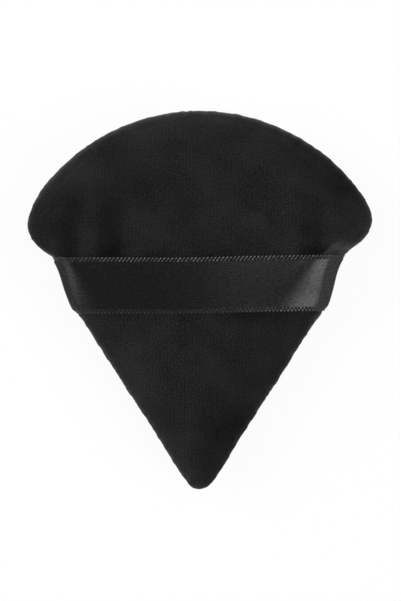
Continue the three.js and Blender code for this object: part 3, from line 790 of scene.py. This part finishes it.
# Woven edges: two rows of twisted threads, the inner one half a turn on and less even
SELVEDGE, SELVEDGE_START = 1.1 * MM, 0.2 * MM
OUTER_ROW, INNER_ROW = 0.29 * MM, 0.78 * MM
OUTER_REACH, INNER_REACH = 0.18 * MM, 0.14 * MM
INNER_STRENGTH = 0.8
SELVEDGE_PITCH = 0.81 * MM
UPPER_SLANT, LOWER_SLANT = 0.9 / MM, 0.25 / MM
SELVEDGE_HEIGHT, FLAT_SHARE, LEAST_RAISED, UNDER_SHARE = 0.06 * MM, 0.35, 0.2, 0.6
EDGE_ROUND, LEAST_EDGE = 0.3 * MM, 0.02
DASH_SPREAD, DASH_LEVEL, OUTER_UNEVEN, INNER_UNEVEN = 0.2, 0.78, 0.22, 0.45
DASH_SHIFT, INNER_DASH_SHIFT, DASH_SEED = 900, 40.0, 83
WOVEN_BASE, WOVEN_GAIN, WOVEN_START = 0.3, 0.8, (0, 0.2)
# How much the edge threads stand out along the ribbon, in their height and in their painted glints: place in
# mm from its middle, and share
UPPER_THREADS = (
    (-28, 0.05), (-26.4, 0.3), (-24.4, 0.55), (-18.5, 0.85), (-2, 1), (15, 1), (25, 0.85), (27.3, 0.25)
)
LOWER_THREADS = (
    (-24, 0.15), (-18.5, 0.25), (-2, 0.25), (8, 0.28), (14, 0.5), (17, 1), (22, 1.15), (25, 0.2)
)
ALONG_STEP = 0.11 * MM
EDGE_STEPS, MIDDLE_STEPS = 10, 16


def rounded_line(corners, radii):
    """A line through the corners, with each inner corner rounded to its radius."""
    points = [corners[0]]
    for before, corner, after, radius in zip(corners, corners[1:], corners[2:], radii):
        back, on = (end - corner for end in (before, after))
        back, on = back / np.linalg.norm(back), on / np.linalg.norm(on)
        half = math.acos(back @ on) / 2
        middle = corner + (back + on) / np.linalg.norm(back + on) * radius / math.sin(half)
        first, last = (corner + way * radius / math.tan(half) - middle for way in (back, on))
        turn = math.pi - 2 * half
        for part in np.linspace(0, turn, ARC_STEPS):
            way = math.sin(turn - part) * first + math.sin(part) * last
            points.append(middle + way / math.sin(turn))
    points = np.array([*points, corners[-1]])
    walked = np.concatenate([[0], np.cumsum(np.linalg.norm(np.diff(points, axis=0), axis=1))])
    stops = np.linspace(0, walked[-1], LINE_STEPS)
    return np.stack([np.interp(stops, walked, points[:, k]) for k in (0, 1)], 1)


def ribbon_line(row, side, offset):
    """One row of the ribbon from its centre to the end of one tail, as x and z."""
    away = 1 if side == "right" else -1
    y = row + RIBBON_LEAN * away * half_width(0, row, side)
    lower = ramp(-offset, -RIBBON_WIDTH / 2, RIBBON_WIDTH / 2)
    tucked = ramp(abs(offset), RIBBON_WIDTH / 2 - TUCK_HEIGHT, RIBBON_WIDTH / 2)
    reach, radius, slope, bend_radius, leg_reach, leg_top, clearance, tucked_clearance = (
        np.interp(lower, [0, 1], by_side[side])
        for by_side in (
            SHOULDER_REACH, SHOULDER_RADIUS, SHOULDER_SLOPE, BEND_RADIUS, LEG_REACH, LEG_TOP,
            LEG_CLEARANCE, TUCKED_CLEARANCE,
        )
    )
    clearance += FLARE * hump(offset, -RIBBON_WIDTH / 2 + FLARE_ABOVE, FLARE_REACH)
    leg = half_width(0, y, side) + clearance + (tucked_clearance - clearance) * tucked
    top = RIBBON_TOP - RIBBON_BOW - RIBBON_CLOTH
    bend = leg - leg_reach
    corners = np.array([
        (0, top),
        (bend - reach, top),
        (bend, top - reach * math.tan(slope)),
        (leg - TUCK * tucked, leg_top),
        (leg, SEAM),
        (half_width(ALLOWANCE_INSET, y, side), SEAM),
    ])
    x, z = rounded_line(corners, (radius, bend_radius, *LEG_RADII)).T
    z = z + RIBBON_BOW * np.cos(math.pi / 2 * np.clip(x / (bend - reach), 0, 1)) ** 2
    return x, z - RIBBON_CROWN * (offset / (RIBBON_WIDTH / 2)) ** 2 * ramp(z, *CROWN_START)


def satin_ribbon():
    edge = np.linspace(0, SELVEDGE, EDGE_STEPS + 1)
    across = np.concatenate([
        -RIBBON_WIDTH / 2 + edge,
        np.linspace(-RIBBON_WIDTH / 2 + SELVEDGE, RIBBON_WIDTH / 2 - SELVEDGE, MIDDLE_STEPS + 1)[1:-1],
        RIBBON_WIDTH / 2 - edge[::-1],
    ])
    lines = []
    for offset in across:
        y = RIBBON_Y - EDGE_DRAW / 2 + offset * (1 - EDGE_DRAW / RIBBON_WIDTH)
        halves = [ribbon_line(y, side, offset) for side in ("left", "right")]
        lines.append((y, halves))

    def walked(x, z):
        return np.concatenate([[0], np.cumsum(np.hypot(np.diff(x), np.diff(z)))])

    longest = max(walked(*half)[-1] for _, halves in lines for half in halves)
    steps = round(longest / ALONG_STEP)
    centre, flat = [], []
    for y, halves in lines:
        parts, lengths = [], []
        for side, (x, z) in zip((-1, 1), halves):
            length = walked(x, z)
            stops = np.linspace(0, length[-1], steps + 1)
            x, z = side * np.interp(stops, length, x), np.interp(stops, length, z)
            part = np.stack([x, np.full(steps + 1, y), z], 1)
            part[:, 1] += RIBBON_LEAN * x - RIBBON_SAG * hump(x, SAG_MIDDLE, SAG_REACH)
            parts.append(part)
            lengths.append(side * stops)
        centre.append(np.concatenate([parts[0][::-1], parts[1][1:]]))
        flat.append(np.concatenate([lengths[0][::-1], lengths[1][1:]]))
    centre, flat = np.array(centre), np.array(flat)
    up = np.cross(np.gradient(centre, axis=1), np.gradient(centre, axis=0))
    up /= np.linalg.norm(up, axis=2, keepdims=True)
    rows = across[:, None] * np.ones_like(flat)
    from_edge = RIBBON_WIDTH / 2 - np.abs(rows)
    cord = hump(from_edge, OUTER_ROW, OUTER_REACH)
    cord += INNER_STRENGTH * hump(from_edge, INNER_ROW, INNER_REACH)
    inner = from_edge > (OUTER_ROW + INNER_ROW) / 2
    in_row = from_edge - np.where(inner, INNER_ROW, OUTER_ROW)
    turns = flat / SELVEDGE_PITCH + np.where(rows > 0, UPPER_SLANT, LOWER_SLANT) * in_row + 0.5 * inner
    twist = np.cos(2 * math.pi * turns)
    upper, lower = (
        np.interp(centre[..., 0] / MM, *np.array(threads).T) for threads in (UPPER_THREADS, LOWER_THREADS)
    )
    shows = np.where(rows > 0, upper, lower)
    raised = SELVEDGE_HEIGHT * cord * (FLAT_SHARE + (1 - FLAT_SHARE) * twist)
    raised = np.maximum(raised * (LEAST_RAISED + (1 - LEAST_RAISED) * shows), 0)
    edge_round = np.sqrt(np.clip(1 - (1 - np.clip(from_edge / EDGE_ROUND, 0, 1)) ** 2, LEAST_EDGE, 1))
    half = RIBBON_CLOTH / 2 * edge_round
    top = centre + up * (half + raised)[..., None]
    under = centre - up * (half + raised * UNDER_SHARE)[..., None]

    count, length = flat.shape
    index = np.arange(count * length).reshape(count, length)
    a, b, c, d = index[:-1, :-1], index[:-1, 1:], index[1:, 1:], index[1:, :-1]
    quads = np.stack([a, b, c, d], -1).reshape(-1, 4)
    below = quads[:, ::-1] + count * length
    loop = np.concatenate([index[0, :], index[1:, -1], index[-1, -2::-1], index[-2:0:-1, 0]])
    following = np.roll(loop, -1)
    rim = np.stack([following, loop, loop + count * length, following + count * length], 1)
    faces = np.concatenate([quads, below, rim])
    points = np.concatenate([top.reshape(-1, 3), under.reshape(-1, 3)])
    pattern = np.stack([flat, rows], -1).reshape(-1, 2)
    piece = mesh_piece("satin_ribbon", points, faces.tolist(), np.concatenate([pattern, pattern]))

    # Painted glints on the raised edge threads, uneven from dash to dash and stronger where the threads stand
    # out
    uneven = np.where(inner, INNER_UNEVEN, OUTER_UNEVEN)
    uneven = uneven * grain(np.round(turns) + DASH_SHIFT, INNER_DASH_SHIFT * inner, 1, DASH_SEED)
    dash_glint = np.clip(DASH_SPREAD + twist, 0, 1 + DASH_SPREAD) / (1 + DASH_SPREAD)
    dash_glint = dash_glint * cord * (DASH_LEVEL + uneven) * shows
    woven = np.clip(WOVEN_BASE + WOVEN_GAIN * shows, 0, 1) * ramp(shows, *WOVEN_START)
    in_edge = ramp(-from_edge, -SELVEDGE, -SELVEDGE + SELVEDGE_START)
    for name, share in (("woven_edge", in_edge * woven), ("edge_thread_glint", in_edge * dash_glint)):
        values = np.tile(share.ravel(), 2)
        piece.data.attributes.new(name, "FLOAT", "POINT").data.foreach_set("value", values)
    return piece, 2 * longest


# Satin finish: scales per metre, tones, and the levels in the body and in the woven edges
FLOAT_SCALE = (1300, 2600, 1)
SATIN_RIB_SCALE, RIB_SHARE = 2 * math.pi / 10 / (0.75 * MM), 0.1
SATIN_TONES = ((0.25, 0.0046), (0.75, 0.0064))
WOVEN_GREY, EDGE_GLINT_GREY = 0.002, 0.18
SATIN_ROUGHNESS = {"From_Min": 0.3, "From_Max": 0.7, "To_Min": 0.27, "To_Max": 0.31}
SATIN_SHINE = {"From_Min": 0.35, "From_Max": 0.65, "To_Min": 0.24, "To_Max": 0.46}
WOVEN_ROUGHNESS, WOVEN_SHINE = 0.6, 0.12
SATIN_BUMP, SATIN_BUMP_HEIGHT = 0.3, 0.03 * MM
SATIN_STRETCH, SATIN_TURN = 0.5, 0.25


def satin_material():
    """Black satin: long floats with faint ribs across, and twisted threads in the woven edges with painted
    glints.
    """
    material, tree, shader = new_material("satin")
    pattern = add_node(tree, "ShaderNodeUVMap", uv_map="pattern").outputs["UV"]
    drawn = add_node(tree, "ShaderNodeMapping", [("Vector", pattern)], Scale=FLOAT_SCALE)
    floats = noise(tree, drawn.outputs["Vector"], Scale=1, Detail=4)
    ribs = bands(
        tree, pattern, "DIAGONAL", Scale=SATIN_RIB_SCALE, Distortion=3, Detail=2, Detail_Scale=1.5
    )
    weave = blended(tree, floats, ribs, RIB_SHARE)
    woven, edge_thread_glint = (
        add_node(tree, "ShaderNodeAttribute", attribute_name=name).outputs["Fac"]
        for name in ("woven_edge", "edge_thread_glint")
    )
    colour = greyed(tree, toned(tree, weave, *SATIN_TONES), woven, WOVEN_GREY)
    # Painted glints: the edge threads are drawn pale grey where they catch the light
    colour = greyed(tree, colour, edge_thread_glint, EDGE_GLINT_GREY)
    tree.links.new(colour, shader.inputs["Base Color"])
    for socket, body, in_edge in (
        ("Roughness", SATIN_ROUGHNESS, WOVEN_ROUGHNESS), ("Specular IOR Level", SATIN_SHINE, WOVEN_SHINE)
    ):
        level = add_node(tree, "ShaderNodeMapRange", [("Value", weave)], **body).outputs["Result"]
        level = add_node(tree, "ShaderNodeMapRange", [("Value", woven), ("To Min", level)], To_Max=in_edge)
        tree.links.new(level.outputs["Result"], shader.inputs[socket])
    add_bump(tree, shader, weave, SATIN_BUMP, SATIN_BUMP_HEIGHT)
    tangent = add_node(tree, "ShaderNodeTangent", direction_type="UV_MAP", uv_map="pattern")
    tree.links.new(tangent.outputs["Tangent"], shader.inputs["Tangent"])
    shader.inputs["Anisotropic"].default_value = SATIN_STRETCH
    shader.inputs["Anisotropic Rotation"].default_value = SATIN_TURN
    return material


satin = satin_material()
ribbon, ribbon_length = satin_ribbon()
ribbon.data.materials.append(satin)
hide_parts("ribbon_band", "left_ribbon_tail", "right_ribbon_tail")
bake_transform(ribbon)

# Threads: black spun cotton. Two form the lockstitch of the seam, two more rows hold the
# ribbon ends, and one closes the turning gap by hand. They lie in the seam, inside the edge.
THREAD_SCALE = 120
THREAD_TONES = ((0.2, 0.005), (0.8, 0.016))
THREAD_BUMP, THREAD_BUMP_HEIGHT = 0.5, 0.05 * MM
THREAD_ROUGHNESS, THREAD_SHEEN = 0.75, 0.2


def thread_material():
    material, tree, shader = new_material("thread")
    place = add_node(tree, "ShaderNodeTexCoord").outputs["Object"]
    twist = bands(tree, place, "DIAGONAL", Scale=THREAD_SCALE, Distortion=2)
    tree.links.new(toned(tree, twist, *THREAD_TONES), shader.inputs["Base Color"])
    add_bump(tree, shader, twist, THREAD_BUMP, THREAD_BUMP_HEIGHT)
    shader.inputs["Roughness"].default_value = THREAD_ROUGHNESS
    shader.inputs["Sheen Weight"].default_value = THREAD_SHEEN
    return material


thread = thread_material()
for node in (
    "seam_needle_thread", "seam_bobbin_thread", "left_tack_thread", "right_tack_thread", "closing_thread"
):
    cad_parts[node].data.materials.clear()
    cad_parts[node].data.materials.append(thread)

# Studio: a white table under soft light, seen from straight above. The key light stands at
# the upper left, and a narrower one at the right draws the shine on the ribbon's shoulder.
PUFF_PIXELS, PHOTO_PIXELS = 378, 601
PIXEL = PUFF_LENGTH / PUFF_PIXELS
FRAME_HEIGHT = PHOTO_PIXELS * PIXEL
CAMERA_RISE = 500 * MM
CAMERA_OFFSET = (1.0 * PIXEL, -0.5 * PIXEL)
CAMERA_ROLL = math.radians(0.25)
FILM_WIDTH, NEAR_CLIP = 36, 0.01
TABLE_REACH, TABLE_DROP = 3.0, 0.02 * MM
TABLE_COLOUR, TABLE_ROUGHNESS, TABLE_SHINE = (0.86, 0.86, 0.86, 1), 0.9, 0.1
PLAIN_WHITE_SHARE = 0.93
# Lamps: name, place, width and height, power and spread
LAMPS = (
    ("key_light", (-0.8, 0.165, 0.62), (0.7, 0.7), 9.2, math.pi),
    ("shoulder_light", (0.6, -0.19, 0.39), (0.56, 0.56), 0.55, math.radians(42.6)),
    ("overhead_light", (0.27, 0.18, 0.7), (0.5, 0.36), 1.5, math.pi),
)
SKY_LOW, SKY_HIGH = 0.5, 0.1

floor_mesh = bpy.data.meshes.new("table")
corners = [(TABLE_REACH * x, TABLE_REACH * y, 0) for x, y in ((-1, -1), (1, -1), (1, 1), (-1, 1))]
floor_mesh.from_pydata(corners, [], [(0, 1, 2, 3)])
table = bpy.data.objects.new("table", floor_mesh)
table.location.z = -TABLE_DROP
bpy.context.scene.collection.objects.link(table)


def white_table():
    """A matt white surface that reads as plain white to the camera and keeps a faint shadow."""
    material, tree, shader = new_material("white_table")
    shader.inputs["Base Color"].default_value = TABLE_COLOUR
    shader.inputs["Roughness"].default_value = TABLE_ROUGHNESS
    shader.inputs["Specular IOR Level"].default_value = TABLE_SHINE
    path = add_node(tree, "ShaderNodeLightPath").outputs
    seen = path["Is Camera Ray"]
    for ray in ("Is Glossy Ray", "Is Transmission Ray"):
        seen = add_node(tree, "ShaderNodeMath", [(0, seen), (1, path[ray])], operation="MAXIMUM").outputs[0]
    share = add_node(tree, "ShaderNodeMath", [(0, seen)], operation="MULTIPLY")
    share.inputs[1].default_value = PLAIN_WHITE_SHARE
    glow = add_node(tree, "ShaderNodeEmission", Strength=1.0)
    mix = add_node(
        tree, "ShaderNodeMixShader",
        [(0, share.outputs[0]), (1, shader.outputs["BSDF"]), (2, glow.outputs["Emission"])],
    )
    tree.links.new(mix.outputs["Shader"], tree.nodes["Material Output"].inputs["Surface"])
    return material


table.data.materials.append(white_table())

for name, place, (width, height), power, spread in LAMPS:
    lamp = bpy.data.lights.new(name, "AREA")
    lamp.shape = "RECTANGLE"
    lamp.size, lamp.size_y = width, height
    lamp.energy = power
    lamp.spread = spread
    light = bpy.data.objects.new(name, lamp)
    light.location = place
    light.rotation_euler = (-Vector(place)).to_track_quat("-Z", "Y").to_euler()
    light.visible_camera = False
    bpy.context.scene.collection.objects.link(light)

world = bpy.data.worlds.new("studio")
bpy.context.scene.world = world
world.use_nodes = True
sky = world.node_tree.nodes["Background"]
way = add_node(world.node_tree, "ShaderNodeTexCoord").outputs["Generated"]
split = add_node(world.node_tree, "ShaderNodeSeparateXYZ", [("Vector", way)])
strength = add_node(
    world.node_tree, "ShaderNodeMapRange", [("Value", split.outputs["Z"])], To_Min=SKY_LOW, To_Max=SKY_HIGH
)
world.node_tree.links.new(strength.outputs["Result"], sky.inputs["Strength"])
sky.inputs["Color"].default_value = (1, 1, 1, 1)

lens = bpy.data.cameras.new("camera")
lens.sensor_width = FILM_WIDTH
lens.lens = lens.sensor_width * CAMERA_RISE / FRAME_HEIGHT
lens.clip_start = NEAR_CLIP
camera = bpy.data.objects.new("camera", lens)
camera.location = (*CAMERA_OFFSET, SEAM + CAMERA_RISE)
camera.rotation_euler.z = CAMERA_ROLL
bpy.context.scene.collection.objects.link(camera)
bpy.context.scene.camera = camera
bpy.context.scene.view_settings.view_transform = "Standard"
